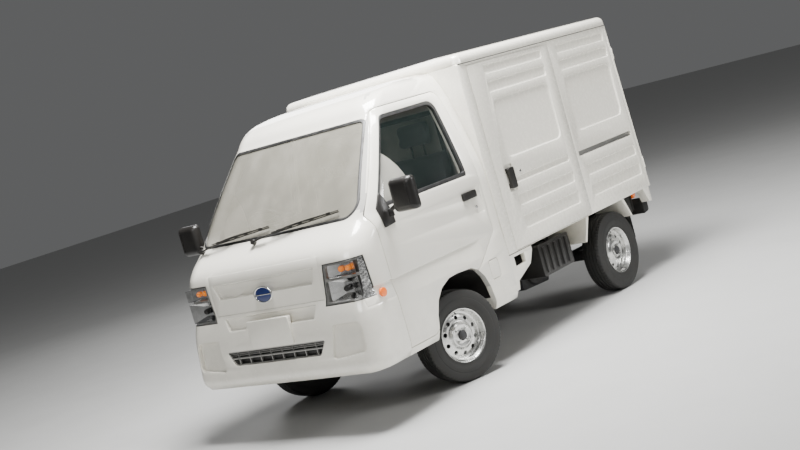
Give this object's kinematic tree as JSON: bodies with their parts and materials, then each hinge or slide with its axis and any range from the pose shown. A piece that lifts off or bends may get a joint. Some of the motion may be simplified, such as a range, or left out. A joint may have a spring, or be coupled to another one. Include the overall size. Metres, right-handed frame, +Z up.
{
  "type": "mail delivery truck",
  "caption": "Small cab-over mail delivery truck with a panelled box body, sliding side doors, swing rear doors, steered front wheels and a fitted cab.",
  "frame": {"origin": "on the ground under the middle of the bounding box", "axes": "+Z up, -Y the way the truck drives, +X the truck's left side"},
  "size_m": [1.93, 3.395, 1.87],
  "materials": {
    "body_paint": "gloss white paint",
    "box_paint": "gloss white paint on pressed panels",
    "chassis_black": "satin black chassis paint",
    "cast_metal": "bare cast metal",
    "black_plastic": "grained black plastic",
    "interior_grey": "grained grey plastic",
    "seat_cloth": "woven seat cloth",
    "clear_glass": "clear laminated glass",
    "tinted_glass": "lightly tinted glass",
    "lamp_lens": "clear moulded lens",
    "amber_lens": "amber moulded lens",
    "red_lens": "red moulded lens",
    "badge_chrome": "polished chrome",
    "tyre_rubber": "tyre rubber",
    "wheel_silver": "silver wheel paint"
  },
  "bodies": {
    "truck": {"cab_shell": "body_paint", "nose_panel": "body_paint", "front_bumper": "body_paint", "lower_grille": "body_paint", "number_plate": "body_paint", "cargo_box": "box_paint", "box_roof": "box_paint", "ladder_frame": "chassis_black", "fuel_tank": "chassis_black", "rear_bumper": "chassis_black", "engine": "cast_metal", "rear_axle": "cast_metal", "steering_rack": "cast_metal", "battery_box": "black_plastic", "steering_column": "black_plastic", "dashboard": "interior_grey", "passenger_seat": "seat_cloth", "windscreen": "clear_glass", "rear_window": "tinted_glass", "headlight_left": "lamp_lens", "headlight_right": "lamp_lens", "side_marker_left": "amber_lens", "side_marker_right": "amber_lens", "tail_lamp_left": "red_lens", "tail_lamp_right": "red_lens", "badge": "badge_chrome"},
    "driver_seat": {"driver_seat": "seat_cloth"},
    "steering_wheel": {"steering_wheel": "black_plastic"},
    "wiper_driver": {"wiper_driver": "black_plastic"},
    "wiper_passenger": {"wiper_passenger": "black_plastic"},
    "gear_lever": {"gear_lever": "black_plastic"},
    "handbrake_lever": {"handbrake_lever": "black_plastic"},
    "brake_pedal": {"brake_pedal": "black_plastic"},
    "accelerator_pedal": {"accelerator_pedal": "black_plastic"},
    "rear_door_handle": {"rear_door_handle": "black_plastic"},
    "fuel_flap": {"fuel_flap": "body_paint"},
    "cab_door_left": {"cab_door_left": "body_paint", "door_glass_left": "tinted_glass"},
    "cab_handle_left": {"cab_handle_left": "black_plastic"},
    "mirror_left": {"mirror_left": "black_plastic"},
    "sliding_door_left": {"sliding_door_left": "box_paint"},
    "slide_handle_left": {"slide_handle_left": "black_plastic"},
    "rear_door_left": {"rear_door_left": "box_paint"},
    "knuckle_left": {"knuckle_left": "cast_metal"},
    "wheel_front_left": {"tyre_front_left": "tyre_rubber", "rim_front_left": "wheel_silver"},
    "wheel_rear_left": {"tyre_rear_left": "tyre_rubber", "rim_rear_left": "wheel_silver"},
    "cab_door_right": {"cab_door_right": "body_paint", "door_glass_right": "tinted_glass"},
    "cab_handle_right": {"cab_handle_right": "black_plastic"},
    "mirror_right": {"mirror_right": "black_plastic"},
    "sliding_door_right": {"sliding_door_right": "box_paint"},
    "slide_handle_right": {"slide_handle_right": "black_plastic"},
    "rear_door_right": {"rear_door_right": "box_paint"},
    "knuckle_right": {"knuckle_right": "cast_metal"},
    "wheel_front_right": {"tyre_front_right": "tyre_rubber", "rim_front_right": "wheel_silver"},
    "wheel_rear_right": {"tyre_rear_right": "tyre_rubber", "rim_rear_right": "wheel_silver"}
  },
  "joints": [
    {"name": "cab_door_left_hinge", "type": "hinge", "parent": "truck", "child": "cab_door_left", "pos_m": [0.7335, -1.376, 0.8], "axis": [0, 0, -1], "range_deg": [0, 65]},
    {"name": "cab_handle_left_pull", "type": "hinge", "parent": "cab_door_left", "child": "cab_handle_left", "pos_m": [0.7415, -0.505, 1.0495], "axis": [0, -1, 0], "range_deg": [0, 30], "stiffness_Nm_per_rad": 1.2},
    {"name": "mirror_left_fold", "type": "hinge", "parent": "cab_door_left", "child": "mirror_left", "pos_m": [0.7675, -1.275, 1.085], "axis": [0, 0, 1], "range_deg": [-55, 40]},
    {"name": "sliding_door_left_run", "type": "slide", "parent": "truck", "child": "sliding_door_left", "axis": [0.1219, 0.9925, 0], "range_m": [0, 0.62]},
    {"name": "slide_handle_left_pull", "type": "hinge", "parent": "sliding_door_left", "child": "slide_handle_left", "pos_m": [0.7455, -0.0705, 1.03], "axis": [0, 0, -1], "range_deg": [0, 18], "stiffness_Nm_per_rad": 1.5},
    {"name": "rear_door_left_hinge", "type": "hinge", "parent": "truck", "child": "rear_door_left", "pos_m": [0.7315, 1.62819, 0.78991], "axis": [0, 0.0416, -0.9991], "range_deg": [0, 110]},
    {"name": "kingpin_left", "type": "hinge", "parent": "truck", "child": "knuckle_left", "pos_m": [0.615, -0.8345, 0.271], "axis": [0, 0, 1], "range_deg": [-16, 50]},
    {"name": "wheel_front_left_spin", "type": "hinge", "parent": "knuckle_left", "child": "wheel_front_left", "pos_m": [0.62839, -0.83859, 0.271], "axis": [0.9563, -0.2924, 0], "continuous": true},
    {"name": "wheel_rear_left_spin", "type": "hinge", "parent": "truck", "child": "wheel_rear_left", "pos_m": [0.629, 1.0505, 0.271], "axis": [1, 0, 0], "continuous": true},
    {"name": "cab_door_right_hinge", "type": "hinge", "parent": "truck", "child": "cab_door_right", "pos_m": [-0.7335, -1.376, 0.8], "axis": [0, 0, 1], "range_deg": [0, 65]},
    {"name": "cab_handle_right_pull", "type": "hinge", "parent": "cab_door_right", "child": "cab_handle_right", "pos_m": [-0.7415, -0.505, 1.0495], "axis": [0, 1, 0], "range_deg": [0, 30], "stiffness_Nm_per_rad": 1.2},
    {"name": "mirror_right_fold", "type": "hinge", "parent": "cab_door_right", "child": "mirror_right", "pos_m": [-0.7675, -1.275, 1.085], "axis": [0, 0, -1], "range_deg": [-55, 40]},
    {"name": "sliding_door_right_run", "type": "slide", "parent": "truck", "child": "sliding_door_right", "axis": [-0.1219, 0.9925, 0], "range_m": [0, 0.62]},
    {"name": "slide_handle_right_pull", "type": "hinge", "parent": "sliding_door_right", "child": "slide_handle_right", "pos_m": [-0.7455, -0.0705, 1.03], "axis": [0, 0, 1], "range_deg": [0, 18], "stiffness_Nm_per_rad": 1.5},
    {"name": "rear_door_right_hinge", "type": "hinge", "parent": "truck", "child": "rear_door_right", "pos_m": [-0.7315, 1.62819, 0.78991], "axis": [0, -0.0416, 0.9991], "range_deg": [0, 110]},
    {"name": "kingpin_right", "type": "hinge", "parent": "truck", "child": "knuckle_right", "pos_m": [-0.615, -0.8345, 0.271], "axis": [0, 0, 1], "range_deg": [-16, 50]},
    {"name": "wheel_front_right_spin", "type": "hinge", "parent": "knuckle_right", "child": "wheel_front_right", "pos_m": [-0.62839, -0.83041, 0.271], "axis": [0.9563, -0.2924, 0], "continuous": true},
    {"name": "wheel_rear_right_spin", "type": "hinge", "parent": "truck", "child": "wheel_rear_right", "pos_m": [-0.629, 1.0505, 0.271], "axis": [1, 0, 0], "continuous": true},
    {"name": "rear_door_handle_turn", "type": "hinge", "parent": "rear_door_right", "child": "rear_door_handle", "pos_m": [-0.075, 1.62246, 1.11996], "axis": [0, 0.9991, 0.0416], "range_deg": [0, 90]},
    {"name": "driver_seat_slide", "type": "slide", "parent": "truck", "child": "driver_seat", "axis": [0, 1, 0], "range_m": [-0.1, 0]},
    {"name": "steering_wheel_turn", "type": "hinge", "parent": "truck", "child": "steering_wheel", "pos_m": [-0.345, -1.05, 1.13], "axis": [0, 0.788, 0.6157], "range_deg": [-266, 833]},
    {"name": "gear_lever_shift", "type": "hinge", "parent": "truck", "child": "gear_lever", "pos_m": [0, -0.925, 0.6863], "axis": [1, 0, 0], "range_deg": [-12, 12]},
    {"name": "handbrake_lever_drop", "type": "hinge", "parent": "truck", "child": "handbrake_lever", "pos_m": [0, -0.56, 0.6863], "axis": [1, 0, 0], "range_deg": [0, 38]},
    {"name": "brake_pedal_press", "type": "hinge", "parent": "truck", "child": "brake_pedal", "pos_m": [-0.33, -1.395, 0.8457], "axis": [-1, 0, 0], "range_deg": [0, 16], "stiffness_Nm_per_rad": 12},
    {"name": "accelerator_pedal_press", "type": "hinge", "parent": "truck", "child": "accelerator_pedal", "pos_m": [-0.44, -1.395, 0.8457], "axis": [-1, 0, 0], "range_deg": [0, 16], "stiffness_Nm_per_rad": 8},
    {"name": "wiper_driver_sweep", "type": "hinge", "parent": "truck", "child": "wiper_driver", "pos_m": [-0.59, -1.45927, 1.12], "axis": [0, -0.7534, 0.6575], "range_deg": [0, 80]},
    {"name": "wiper_passenger_sweep", "type": "hinge", "parent": "truck", "child": "wiper_passenger", "pos_m": [-0.095, -1.50254, 1.12], "axis": [0.0995, -0.7497, 0.6543], "range_deg": [0, 80]},
    {"name": "fuel_flap_hinge", "type": "hinge", "parent": "truck", "child": "fuel_flap", "pos_m": [0.7345, -0.5025, 0.557], "axis": [0, 0, -1], "range_deg": [0, 62]}
  ],
  "couplings": [
    {"joint": "kingpin_left", "follows": "steering_wheel_turn", "ratio": 0.06},
    {"joint": "kingpin_right", "follows": "steering_wheel_turn", "ratio": 0.06},
    {"joint": "wiper_passenger_sweep", "follows": "wiper_driver_sweep", "ratio": 1}
  ]
}
